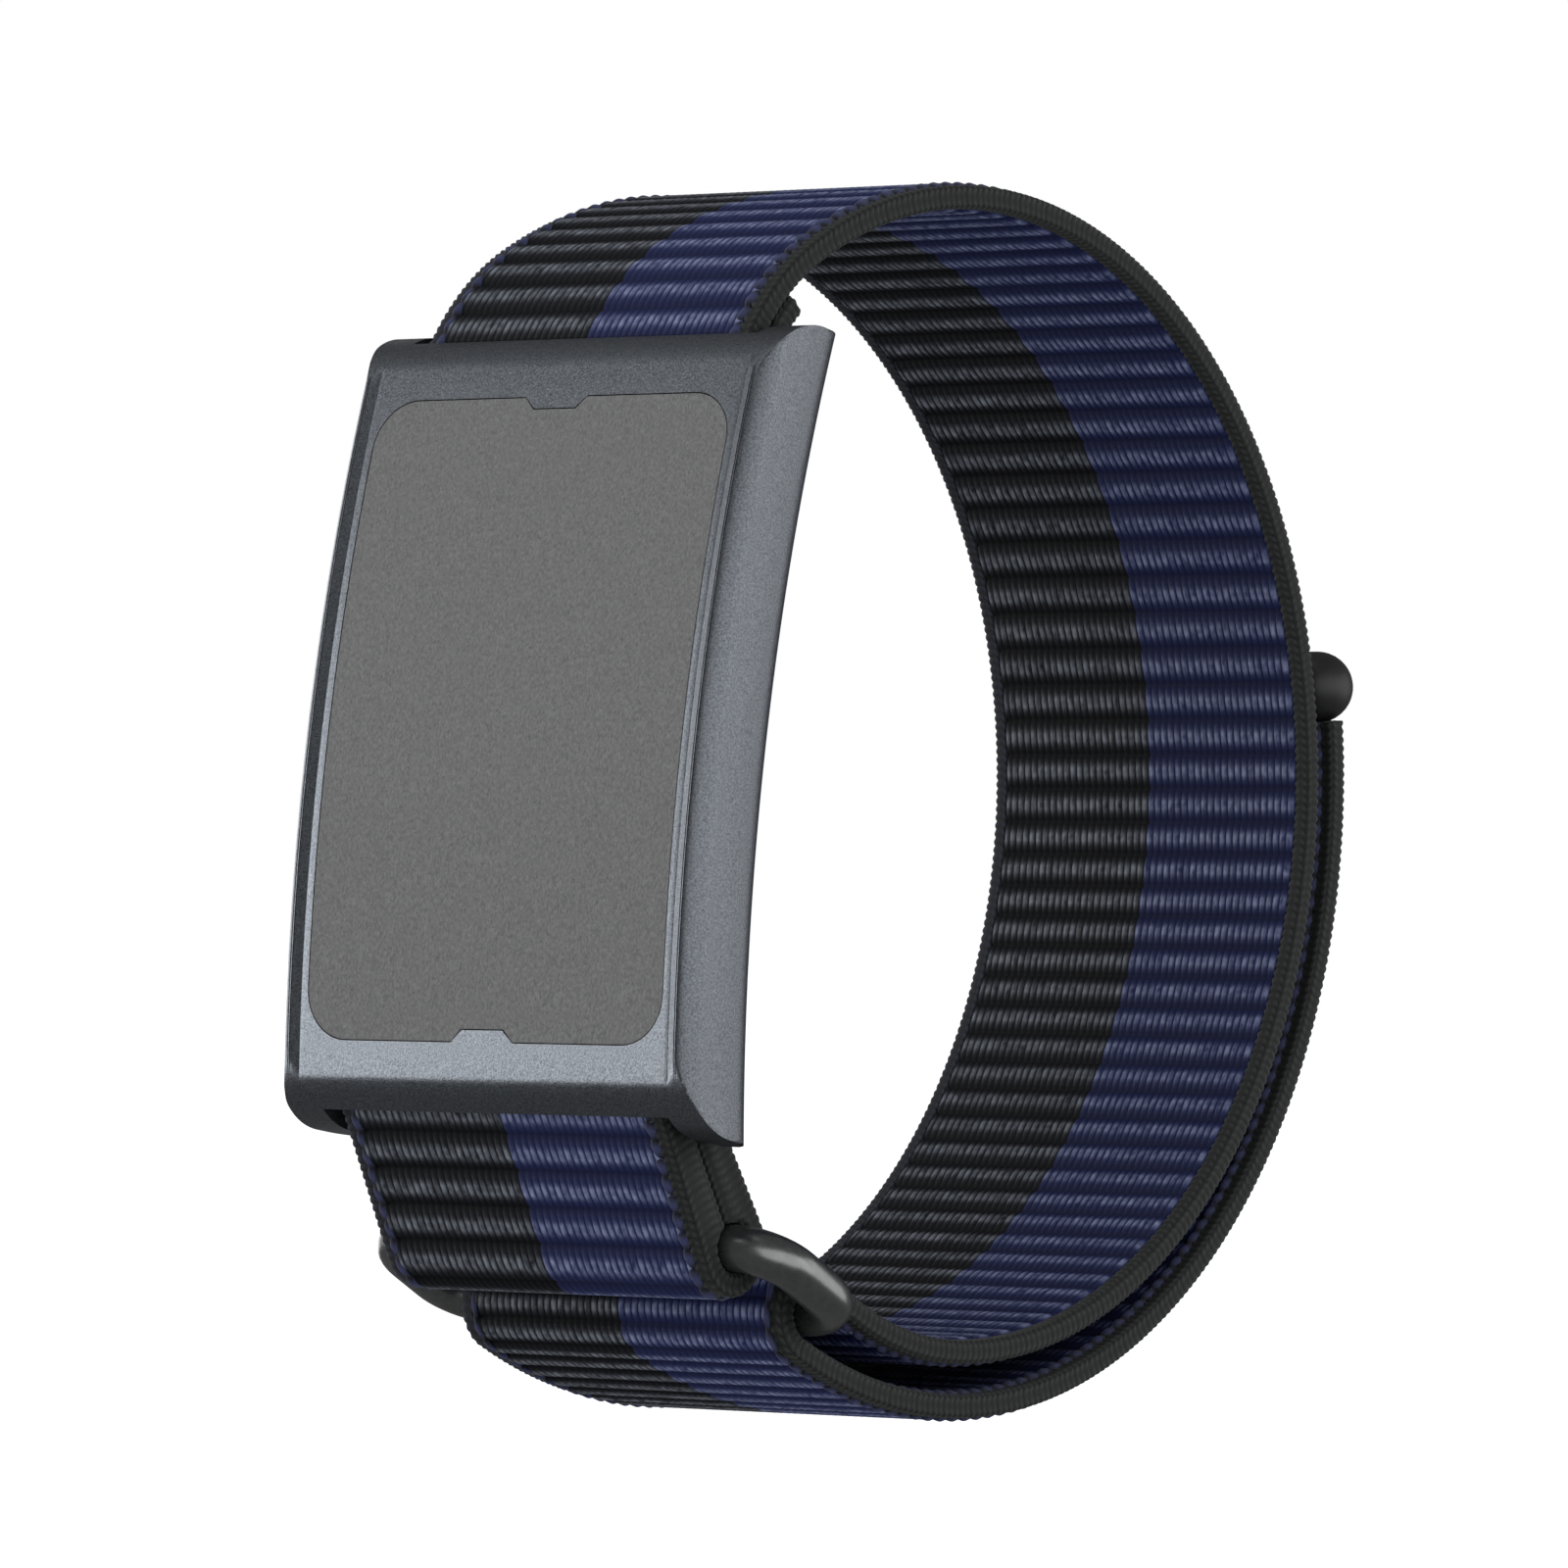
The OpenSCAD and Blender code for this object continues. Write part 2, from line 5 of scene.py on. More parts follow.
import bpy
import numpy as np
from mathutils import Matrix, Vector


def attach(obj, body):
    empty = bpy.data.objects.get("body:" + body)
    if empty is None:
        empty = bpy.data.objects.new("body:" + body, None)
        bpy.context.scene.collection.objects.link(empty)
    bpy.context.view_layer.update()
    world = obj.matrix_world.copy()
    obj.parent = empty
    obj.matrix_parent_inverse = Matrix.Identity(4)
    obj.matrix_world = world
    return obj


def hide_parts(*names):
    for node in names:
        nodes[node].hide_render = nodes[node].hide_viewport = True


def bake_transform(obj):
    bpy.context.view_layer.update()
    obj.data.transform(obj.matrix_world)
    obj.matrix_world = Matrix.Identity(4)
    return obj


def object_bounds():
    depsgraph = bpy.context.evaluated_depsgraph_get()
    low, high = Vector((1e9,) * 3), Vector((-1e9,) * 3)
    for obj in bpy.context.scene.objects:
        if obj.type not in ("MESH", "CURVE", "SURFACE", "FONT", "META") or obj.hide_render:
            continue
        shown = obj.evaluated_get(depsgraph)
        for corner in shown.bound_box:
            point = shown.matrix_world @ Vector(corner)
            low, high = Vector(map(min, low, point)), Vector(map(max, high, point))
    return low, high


MM = 0.001

# ---- camera ----
VIEW_TURN = math.radians(38)
VIEW_REACH = 515 * MM
VIEW_HEIGHT = 0.83 * MM
VIEW_LENS = 237.6
cam = bpy.data.objects.new("camera", bpy.data.cameras.new("camera"))
bpy.context.scene.collection.objects.link(cam)
cam.location = (
    VIEW_REACH * math.sin(VIEW_TURN),
    -VIEW_REACH * math.cos(VIEW_TURN),
    VIEW_HEIGHT,
)
cam.rotation_euler = (math.radians(90), 0, VIEW_TURN)
cam.data.lens = VIEW_LENS
cam.data.clip_start = 0.01
bpy.context.scene.camera = cam

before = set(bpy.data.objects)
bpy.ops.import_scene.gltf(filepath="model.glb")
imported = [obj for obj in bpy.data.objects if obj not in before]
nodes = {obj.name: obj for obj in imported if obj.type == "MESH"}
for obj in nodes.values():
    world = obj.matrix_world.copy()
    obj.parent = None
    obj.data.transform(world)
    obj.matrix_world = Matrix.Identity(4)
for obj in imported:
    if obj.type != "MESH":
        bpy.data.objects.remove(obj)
cad_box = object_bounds()


# ---- shader sums ----
class Value:
    """One shader value. The usual operators add Math nodes to its finish."""

    def __init__(self, finish, socket):
        self.finish, self.socket = finish, socket

    def math(self, operation, *terms):
        n = self.finish.tree.nodes.new("ShaderNodeMath")
        n.operation = operation
        for at, term in enumerate(terms):
            if isinstance(term, Value):
                self.finish.tree.links.new(term.socket, n.inputs[at])
            else:
                n.inputs[at].default_value = term
        return Value(self.finish, n.outputs[0])

    def __add__(self, o):
        return self.math("ADD", self, o)

    def __radd__(self, o):
        return self.math("ADD", o, self)

    def __sub__(self, o):
        return self.math("SUBTRACT", self, o)

    def __rsub__(self, o):
        return self.math("SUBTRACT", o, self)

    def __mul__(self, o):
        return self.math("MULTIPLY", self, o)

    def __rmul__(self, o):
        return self.math("MULTIPLY", o, self)

    def __gt__(self, o):
        return self.math("GREATER_THAN", self, o)

    def sine(self):
        return self.math("SINE", self)

    def least(self, o):
        return self.math("MINIMUM", self, o)

    def clamped(self):
        return self.math("MAXIMUM", self.least(1.0), 0.0)


class Finish:
    """A material of the band, with its own nodes."""

    def __init__(self, name, **constants):
        self.material = bpy.data.materials.new(name)
        self.material.use_nodes = True
        self.tree = self.material.node_tree
        self.shader = self.tree.nodes["Principled BSDF"]
        for socket, value in constants.items():
            self.shader.inputs[socket.replace("_", " ")].default_value = value

    def node(self, kind, settings=None, sockets=None, out=0):
        n = self.tree.nodes.new("ShaderNode" + kind)
        for key, value in (settings or {}).items():
            if key == "stops":
                ramp = n.color_ramp
                while len(ramp.elements) < len(value):
                    ramp.elements.new(0.5)
                for stop, (place, tint) in zip(ramp.elements, value):
                    stop.position, stop.color = place, (*tint, 1)
            else:
                setattr(n, key, value)
        for key, value in (sockets or {}).items():
            if isinstance(value, Value):
                self.tree.links.new(value.socket, n.inputs[key])
            else:
                n.inputs[key].default_value = value
        return Value(self, n.outputs[out])

    def place(self):
        """Where a point of the piece is, in metres, in the piece's own frame."""
        return self.node("TexCoord", out=3)

    def noise(self, size_mm, detail=2.0, stretch=(1, 1, 1), rough=0.5):
        """Soft noise with features of about this size."""
        scale = tuple(s / (size_mm * MM) for s in stretch)
        spot = self.node("Mapping", None, {"Vector": self.place(), "Scale": scale})
        sockets = {"Vector": spot, "Scale": 1.0, "Detail": detail, "Roughness": rough}
        return self.node("TexNoise", None, sockets)

    def cells(self, size_mm, feature="F1"):
        scale = (1 / (size_mm * MM),) * 3
        spot = self.node("Mapping", None, {"Vector": self.place(), "Scale": scale})
        return self.node("TexVoronoi", {"feature": feature}, {"Vector": spot, "Scale": 1.0})

    def carried(self, name):
        """A number that the mesh carries at each of its points."""
        return self.node("Attribute", {"attribute_name": name}, out=2)

    def between(self, share, first, second):
        return self.node("Mix", {"data_type": "RGBA"}, {0: share, 6: first, 7: second}, out=2)

    def axis(self, which):
        return self.node("SeparateXYZ", None, {0: self.place()}, out=which)

    def feeds(self, socket, value):
        self.tree.links.new(value.socket, self.shader.inputs[socket])

    def bumped(self, height, strength, depth_mm):
        self.feeds(
            "Normal",
            self.node("Bump", None, {"Height": height, "Strength": strength, "Distance": depth_mm * MM}),
        )


def tint(code):
    """A six-digit sRGB colour as linear numbers."""
    parts = [int(code[i : i + 2], 16) / 255 for i in (0, 2, 4)]
    return tuple(p / 12.92 if p <= 0.04045 else ((p + 0.055) / 1.055) ** 2.4 for p in parts)


def solid(code):
    return (*tint(code), 1.0)


# ---- finishes ----
def blasted_metal():
    f = Finish("case_metal", Metallic=0.9)
    grain = f.noise(0.10, 3, rough=0.75)
    cloud = f.noise(6, 2)
    speck = f.node("ValToRGB", {"stops": [(0.34, tint("4e5258")), (0.66, tint("84898f"))]}, {0: grain})
    f.feeds("Base Color", f.between(cloud * 0.15, speck, solid("6d7176")))
    f.feeds("Roughness", 0.27 + 0.14 * grain + 0.04 * cloud)
    f.bumped(grain, 0.5, 0.03)
    return f.material


def grained_skin():
    f = Finish("panel_skin", Specular_IOR_Level=0.35)
    pebbles = f.cells(0.30, "SMOOTH_F1")
    grain = f.noise(0.12, 3, (1, 1, 0.6), rough=0.75)
    cloud = f.noise(5, 2)
    shade = f.node("ValToRGB", {"stops": [(0.3, tint("696968")), (0.7, tint("9e9e9d"))]}, {0: grain})
    f.feeds("Base Color", f.between(cloud * 0.25, shade, solid("848483")))
    f.feeds("Roughness", 0.5 + 0.2 * pebbles)
    f.bumped(pebbles * 0.6 + grain, 0.9, 0.1)
    return f.material


def woven(name, far, near):
    """Ribbed webbing, charcoal on one half of its width and navy on the other, with painted shade between
    the ribs and painted highlights (glints) on the yarns.
    """
    f = Finish(name, Specular_IOR_Level=0.25)
    height, crest = f.carried("rise"), f.carried("crest")
    fleck = f.noise(0.10, 2, (1, 0.35, 0.35))
    spark = f.noise(0.34, 1, (1, 0.6, 0.6))
    side = f.axis(0) > 0.0
    low, top, painted_glint = (f.between(side, solid(a), solid(b)) for a, b in zip(far, near))
    # painted shade: the colour runs from a dark low colour where the yarn sinks between ribs up to the
    # yarn's own colour on top, with random flecks
    body = f.between((height * (0.4 + 0.9 * fleck)).least(1.0), low, top)
    # painted highlight: a light streak down the middle of each yarn's float, stronger at random places
    painted_highlight = (crest * crest * (spark * 2.8 - 0.55)).clamped()
    f.feeds("Base Color", f.between(painted_highlight, body, painted_glint))
    f.feeds("Roughness", 0.85 - 0.35 * height)
    f.bumped(fleck, 0.4, 0.03)
    return f.material


def knitted(name, low, high):
    f = Finish(name, Sheen_Weight=0.1, Roughness=0.8)
    height = f.carried("rise")
    fuzz = f.noise(0.09, 2)
    # painted shade: darker where the knit sinks between its loops, the own colour on the loops' tops; the
    # fuzz adds tone that differs at random
    share = (height * height * (0.35 + 1.1 * fuzz)).least(1.0)
    f.feeds("Base Color", f.between(share, solid(low), solid(high)))
    f.feeds("Roughness", 0.7 + 0.2 * fuzz)
    f.bumped(fuzz, 0.4, 0.03)
    return f.material


def smooth_metal(name, low, high, rough):
    f = Finish(name, Metallic=0.9)
    smoke = f.noise(0.5, 2)
    f.feeds("Base Color", f.between(smoke, solid(low), solid(high)))
    f.feeds("Roughness", rough + 0.08 * smoke)
    f.bumped(f.noise(0.08, 2), 0.06, 0.01)
    return f.material


def moulded(name, low, high, rough=0.5, grain=0.15, **constants):
    f = Finish(name, **constants)
    speck = f.noise(grain, 3, rough=0.6)
    f.feeds("Base Color", f.between(speck, solid(low), solid(high)))
    f.feeds("Roughness", rough + 0.12 * speck)
    f.bumped(speck, 0.15, 0.02)
    return f.material


def circuit(name):
    f = Finish(name, Coat_Weight=0.3)
    lands = f.cells(0.7) > 0.42
    tracks = (f.axis(2) * 5200.0).sine() * (f.axis(0) * 3100.0).sine() > 0.55
    base = f.between(tracks * 0.5, solid("0d3a22"), solid("2c6b3d"))
    f.feeds("Base Color", f.between(lands * 0.35, base, solid("b8a25c")))
    f.feeds("Roughness", 0.35 + 0.2 * f.noise(0.4))
    return f.material


CHARCOAL = ("080b12", "1f242e", "989ea9")  # painted shade between the ribs, the yarn's own colour on them, and a painted highlight where a yarn glints
NAVY = ("161f4c", "23316c", "a3abd2")

FINISHES = {
    "case_metal": blasted_metal(),
    "panel_skin": grained_skin(),
    "webbing": woven("webbing", CHARCOAL, NAVY),
    # for the knits the first colour is painted shade between the loops and knots, the second their own
    # colour
    "binding": knitted("binding", "070908", "3a403c"),
    "far_binding": knitted("far_binding", "0b0e18", "343b55"),
    "edge_cord": knitted("edge_cord", "070a1c", "3d4472"),
    "loop_pile": moulded("loop_pile", "0e1120", "23284a", 0.9, 0.2, Sheen_Weight=0.4),
    "hook_tape": moulded("hook_tape", "0a0a0c", "1d1d20", 0.7, 0.3),
    "thread": knitted("thread", "0d0f1c", "4a5080"),
    "ring_metal": smooth_metal("ring_metal", "6f7071", "8c8d8c", 0.24),
    "pull_plastic": moulded("pull_plastic", "1b1b1c", "2a2a2b", 0.42),
    "steel": smooth_metal("steel", "a8abae", "c9cbce", 0.25),
    "gasket": moulded("gasket", "0b0b0c", "151516", 0.8),
    "module_plastic": moulded("module_plastic", "1a1a1c", "27272a", 0.55),
    "cover_plastic": moulded("cover_plastic", "161618", "222224", 0.4),
    "battery_foil": smooth_metal("battery_foil", "9a9da2", "c2c4c8", 0.4),
    "board": circuit("board"),
    "shield_metal": smooth_metal("shield_metal", "b5b3ab", "d2d0c8", 0.35),
    "flex": moulded("flex", "a8641c", "cf8a35", 0.4, 0.4),
    "optical_black": moulded("optical_black", "050506", "0c0c0d", 0.7),
    "sensor_glass": moulded("sensor_glass", "0a0a0c", "121216", 0.08, 0.8, Coat_Weight=1.0),
    "led_green": moulded("led_green", "3f9a4e", "7fdc88", 0.25, 0.4),
    "led_red": moulded("led_red", "8a2020", "d24a40", 0.25, 0.4),
    "photodiode": moulded("photodiode", "14142c", "2a2a55", 0.2, 0.5),
    "gold": smooth_metal("gold", "c79a45", "e8c070", 0.25),
}


# ---- meshes ----
def skin(name, finish, grid, along=False, carried=None, body=None):
    """One closed mesh from a grid of points in mm: rows run along the piece, columns round it.

    With along, the last row meets the first. Otherwise each end gets a cap."""
    rows, cols, _ = grid.shape
    index = np.arange(rows * cols).reshape(rows, cols)
    if along:
        index = np.vstack([index, index[:1]])
    index = np.hstack([index, index[:, :1]])
    a, b, c, d = index[:-1, :-1], index[1:, :-1], index[1:, 1:], index[:-1, 1:]
    quads = np.stack([a, b, c, d], -1).reshape(-1, 4)
    points = grid.reshape(-1, 3) * MM
    faces = [tuple(q) for q in quads.tolist()]
    if not along:
        faces.append(tuple(index[0, :-1].tolist()))
        faces.append(tuple(index[-1, :-1][::-1].tolist()))
    mesh = bpy.data.meshes.new(name)
    mesh.from_pydata(points.tolist(), [], faces)
    mesh.validate()
    for poly in mesh.polygons:
        poly.use_smooth = len(poly.vertices) == 4
    for word, numbers in (carried or {}).items():
        layer = mesh.attributes.new(word, "FLOAT", "POINT")
        layer.data.foreach_set("value", numbers.ravel().astype(np.float32))
    mesh.materials.append(FINISHES[finish])
    piece = bpy.data.objects.new(name, mesh)
    bpy.context.scene.collection.objects.link(piece)
    outward(piece)
    if body:
        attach(piece, body)
    return piece


def outward(piece):
    """Turns a closed mesh's faces outwards when its volume comes out negative."""
    mesh = piece.data
    mesh.calc_loop_triangles()
    spots = np.empty(len(mesh.vertices) * 3)
    mesh.vertices.foreach_get("co", spots)
    spots = spots.reshape(-1, 3)
    corners = np.empty(len(mesh.loop_triangles) * 3, np.int32)
    mesh.loop_triangles.foreach_get("vertices", corners)
    t = spots[corners.reshape(-1, 3)]
    if np.einsum("ij,ij->i", t[:, 0], np.cross(t[:, 1], t[:, 2])).sum() < 0:
        mesh.flip_normals()


# ---- the strap's path: across the view from the side, Y and Z in mm ----
LEAN = math.radians(10.4)
CASE_SHIFT = 0.2
STRAP_T = 1.2
WIRE_R = 1.15
SHOULDER_R, HEEL_R = 14.0, 20.0
LOOP_C, LOOP_R = np.array([3.0, 1.3]), 28.5
TAIL_C = np.array([2.7, 1.25])
TAB_BAR = np.array([-16.6, -21.4])
RING_BAR = np.array([-10.63, -24.75])
EYE_MID, WRAP_MID = 1.3, 1.9
TAIL_END = 5.2
BAR_OUT, BAR_UP = 18.1, 17.2  # each spring bar, in the case's own frame
SEWN_L = 1.6  # the folded-back end, along the shoulder's inside
SEWN_R = SHOULDER_R - STRAP_T - 0.05


def case_point(out, up):
    up = up + CASE_SHIFT
    return np.array(
        [-out * math.cos(LEAN) + up * math.sin(LEAN), out * math.sin(LEAN) + up * math.cos(LEAN)]
    )


def meet(p, q, a, b, side):
    """The point at distance a from p and b from q."""
    d = np.linalg.norm(q - p)
    u = (q - p) / d
    x = (d * d + a * a - b * b) / (2 * d)
    return p + x * u + side * math.sqrt(a * a - x * x) * np.array([-u[1], u[0]])


def heading(v):
    return math.degrees(math.atan2(v[1], v[0]))


def beam(angle):
    return np.array([math.cos(math.radians(angle)), math.sin(math.radians(angle))])


TOP_BAR, BOTTOM_BAR = case_point(BAR_OUT, BAR_UP), case_point(BAR_OUT, -BAR_UP)
SHOULDER_C = meet(LOOP_C, TOP_BAR, LOOP_R - SHOULDER_R, SHOULDER_R - EYE_MID, -1)
HEEL_C = meet(LOOP_C, RING_BAR, LOOP_R - HEEL_R, HEEL_R + WRAP_MID, 1)
TAIL_R = np.linalg.norm(RING_BAR - TAIL_C) + WRAP_MID
EYE_FRONT = heading(TOP_BAR - SHOULDER_C)
SHOULDER_TOP = heading(SHOULDER_C - LOOP_C)
HEEL_START = heading(HEEL_C - LOOP_C)
HEEL_END = heading(RING_BAR - HEEL_C)
WRAP_END = heading(RING_BAR - TAIL_C)
SEWN_START = EYE_FRONT + 200


class Run:
    """A path in the Y-Z plane with its outward direction, followed by the length gone along it."""

    def __init__(self, *stretches):
        spots, outs, self.marks = [], [], []
        for kind, *facts in stretches:
            if kind == "line":
                start, end, out = facts
                share = np.linspace(0, 1, 60)[:, None]
                spots.append(start + (end - start) * share)
                outs.append(np.repeat(out[None], 60, 0))
            else:
                c, r, a0, a1, sign = facts
                turn = np.radians(np.linspace(a0, a1, max(24, int(abs(a1 - a0) * 3))))
                ray = np.stack([np.cos(turn), np.sin(turn)], 1)
                spots.append(c + r * ray)
                outs.append(ray * sign)
            self.marks.append(sum(len(x) for x in spots) - 1)
        spots, self.out = np.vstack(spots), np.vstack(outs)
        step = np.linalg.norm(np.diff(spots, axis=0), axis=1)
        self.s = np.concatenate([[0], np.cumsum(np.maximum(step, 1e-7))])
        self.spots = spots
        self.marks = [self.s[m] for m in self.marks]
        self.length = self.s[-1]

    def at(self, s, x, off):
        """Points in mm at length s, across x, and off outwards."""
        s, x, off = np.broadcast_arrays(s, x, off)
        y, z = (np.interp(s, self.s, self.spots[:, i]) for i in (0, 1))
        ny, nz = (np.interp(s, self.s, self.out[:, i]) for i in (0, 1))
        size = np.sqrt(ny**2 + nz**2)
        return np.stack([x, y + off * ny / size, z + off * nz / size], -1)


sewn_corner = TOP_BAR + EYE_MID * beam(SEWN_START)
reach = (sewn_corner - SHOULDER_C) @ beam(SEWN_START + 90)
sewn_off = ((sewn_corner - SHOULDER_C) ** 2).sum()
sewn_straight = -reach + math.sqrt(reach**2 + SEWN_R**2 - sewn_off)
sewn_meet = sewn_corner + sewn_straight * beam(SEWN_START + 90)
sewn_join = heading(sewn_meet - SHOULDER_C)
strap_run = Run(
    ("arc", SHOULDER_C, SEWN_R, sewn_join - math.degrees(SEWN_L / SEWN_R), sewn_join, -1),
    ("line", sewn_meet, sewn_corner, beam(SEWN_START)),
    ("arc", TOP_BAR, EYE_MID, SEWN_START, EYE_FRONT, 1),
    ("arc", SHOULDER_C, SHOULDER_R, EYE_FRONT, SHOULDER_TOP, 1),
    ("arc", LOOP_C, LOOP_R, SHOULDER_TOP, HEEL_START, 1),
    ("arc", HEEL_C, HEEL_R, HEEL_START, HEEL_END, 1),
    ("arc", RING_BAR, WRAP_MID, HEEL_END + 180, WRAP_END + 360, -1),
    ("arc", TAIL_C, TAIL_R, WRAP_END, TAIL_END, -1),
)
AT_EYE, AT_SHOULDER, AT_LOOP, AT_HEEL, AT_WRAP, AT_TIP = strap_run.marks[2:]  # where stretches end

# ---- webbing ----
YARNS = 44  # warp yarns across it
CORE_HALF = 9.3
VALLEY_HALF = 0.42  # half its thickness between two ribs
RIB_STEPS = [0.0, 0.08, 0.2, 0.4, 0.6, 0.8, 0.92]
YARN_FINE = [(0.0, 0.0), (0.2, 0.85), (0.5, 1.0), (0.8, 0.85)]
YARN_PLAIN = [(0.0, 0.0), (0.5, 1.0)]


class Ribs:
    """Counts the ribs of weft along a path, from stops of length and rib width."""

    def __init__(self, *stops):
        at, width = zip(*stops)
        self.s = np.linspace(at[0], at[-1], 4000)
        each = np.diff(self.s) / np.interp((self.s[1:] + self.s[:-1]) / 2, at, width)
        self.count = np.concatenate([[0], np.cumsum(each)])

    def rows(self, start, end):
        """Lengths where the weave needs a row of points."""
        marks = [k + f for k in range(int(self.count[-1]) + 1) for f in RIB_STEPS]
        rows = np.interp(marks, self.count, self.s)
        rows = rows[(rows > start + 0.05) & (rows < end - 0.05)]
        return np.array([start, *rows, end])

    def phase(self, s):
        return np.interp(s, self.s, self.count) % 1.0


def yarn_columns(steps):
    pitch = 2 * CORE_HALF / YARNS
    across = [(-CORE_HALF + (k + f) * pitch, h) for k in range(YARNS) for f, h in steps]
    across.append((CORE_HALF, 0.0))
    return np.array(across).T


def weave(name, run, ribs, start, end, body, outer, inner, around=False, tight=None):
    """A ribbed band: yarns float over each rib of weft and dip between ribs, on both faces."""
    s = ribs.rows(start, end)
    if around:
        s = s[:-1]
    phase = ribs.phase(s)
    swell = np.abs(np.sin(np.pi * phase)) ** 0.6
    # crest marks the middle of each rib, where the finish paints a highlight
    crest = np.exp(-(((phase - 0.5) / 0.2) ** 2))
    sides = []
    for sign, steps in ((1, outer), (-1, inner)):
        x, yarn = yarn_columns(steps)
        if sign < 0:
            x, yarn = x[::-1], yarn[::-1]
        edge = 1 - 0.55 * np.clip((np.abs(x) - CORE_HALF + 0.25) / 0.25, 0, 1)
        # rise is how high the yarn stands; the finish paints shade where it is low
        rise = np.clip((swell[:, None] - 0.4) / 0.6, 0, 1) * (0.25 + 0.75 * yarn[None, :])
        plump = 0.20 * swell[:, None] + 0.12 * swell[:, None] ** 0.5 * yarn[None, :]
        half = VALLEY_HALF + plump * edge[None, :]
        if tight is not None:
            flat = np.minimum(half, STRAP_T / 2 + 0.03)
            half = np.where(tight(s, sign)[:, None], flat, half)
        slant = 0.10 * (phase - 0.5)[:, None] * (1 - (np.abs(x) / CORE_HALF) ** 8)[None, :]
        spots = run.at(s[:, None], x[None, :] + slant, sign * half)
        sides.append((spots, rise, crest[:, None] * yarn[None, :]))
    grid, rise, top = (np.concatenate(pair, 1) for pair in zip(*sides))
    carried = {"rise": rise, "crest": top}
    return skin(name, "webbing", grid, along=around, carried=carried, body=body)


def hugging(s, sign):
    """Round the top spring bar, and where the folded-back end lies on it, the inner face is pressed flat."""
    return (sign < 0) & (s < AT_EYE + 3.6)


def pressed(s, sign):
    """Round the ring's lower bar the strap's outer face is the one that lies on the metal."""
    return (sign > 0) & (s < AT_WRAP + 1.5)


def part_way(share):
    """Length at this share of the loop's long curve."""
    return AT_SHOULDER + share * (AT_LOOP - AT_SHOULDER)


STRAP_RIBS = Ribs(
    (0, 2.0),
    (part_way(0.2), 2.02),
    (part_way(0.45), 2.04),
    (part_way(0.62), 1.66),
    (part_way(0.83), 1.78),
    (AT_HEEL - 3, 1.8),
    (AT_HEEL, 1.2),
    (AT_WRAP, 1.2),
    (AT_WRAP + 3, 1.75),
    (AT_TIP, 1.85),
)


def strap_part(name, start, end, body, outer, tight):
    return weave(name, strap_run, STRAP_RIBS, start, end, body, outer, YARN_FINE, tight=tight)


strap_weave = strap_part("strap_weave", 0, AT_HEEL, "strap", YARN_FINE, hugging)
wrap_weave = strap_part("wrap_weave", AT_HEEL, AT_WRAP, None, YARN_PLAIN, pressed)
tail_weave = strap_part("tail_weave", AT_WRAP, AT_TIP, "tail", YARN_PLAIN, pressed)
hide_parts("long_strap")
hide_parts("ring_fold")
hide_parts("tail_strap")


TAPE_X, TAPE_HALF_W, TAPE_HALF_T = 9.62, 0.38, 0.55
STITCH_PITCH, WALES = 0.44, 8  # of the tape's knit, along it and round it
CORD_X, KNOT_PITCH = 9.16, 0.98


def edging(name, run, start, end, side, body, around=False, inner_reach=None):
    """A knitted tape folded over the strap's edge, with rows of V stitches."""
    count = max(8, int((end - start) / 0.1))
    s = np.linspace(start, end, count + 1)
    if around:
        s = s[:-1]
    turn = np.linspace(0, 2 * np.pi, 24, endpoint=False)
    square_x = np.sign(np.cos(turn)) * np.abs(np.cos(turn)) ** 0.55
    square_n = np.sign(np.sin(turn)) * np.abs(np.sin(turn)) ** 0.55
    wale = turn / (2 * np.pi) * WALES
    chevron = np.abs(wale % 2 - 1)
    loops = np.abs(np.sin(np.pi * (s[:, None] / STITCH_PITCH + 0.6 * chevron[None, :]))) ** 0.8
    loops = loops * (0.3 + 0.7 * np.abs(np.sin(np.pi * wale)) ** 0.6)[None, :]
    x = side * TAPE_X + square_x[None, :] * (TAPE_HALF_W + 0.12 * loops)
    down = np.full(len(s), TAPE_HALF_T) if inner_reach is None else inner_reach(s)
    thick = np.where(square_n[None, :] < 0, down[:, None], TAPE_HALF_T)
    off = square_n[None, :] * (thick - 0.03 + 0.1 * loops)
    grid = run.at(s[:, None], x, off)
    finish = "binding" if side > 0 else "far_binding"
    # the loops' height goes to the finish, which paints shade between them
    carried = {"rise": np.clip(loops, 0, 1)}
    return skin(name, finish, grid, along=around, carried=carried, body=body)


def beads(name, run, start, end, side, body, off, around=False):
    """The selvedge: a small knotted cord where the tape meets the webbing."""
    count = max(8, int((end - start) / 0.14))
    s = np.linspace(start, end, count + 1)
    if around:
        s = s[:-1]
    turn = np.linspace(0, 2 * np.pi, 8, endpoint=False)
    knot = np.abs(np.sin(np.pi * s / KNOT_PITCH)) ** 0.8
    r = 0.10 + 0.14 * knot
    x = side * CORD_X + np.cos(turn + 0.5)[None, :] * r[:, None]
    lift = off + np.sin(turn)[None, :] * r[:, None]
    grid = run.at(s[:, None] + 0.12 * np.cos(turn)[None, :], x, lift)
    # the knots' height goes to the finish, which paints shade between them
    rise = np.repeat(knot[:, None], 8, 1)
    return skin(name, "edge_cord", grid, along=around, carried={"rise": rise}, body=body)


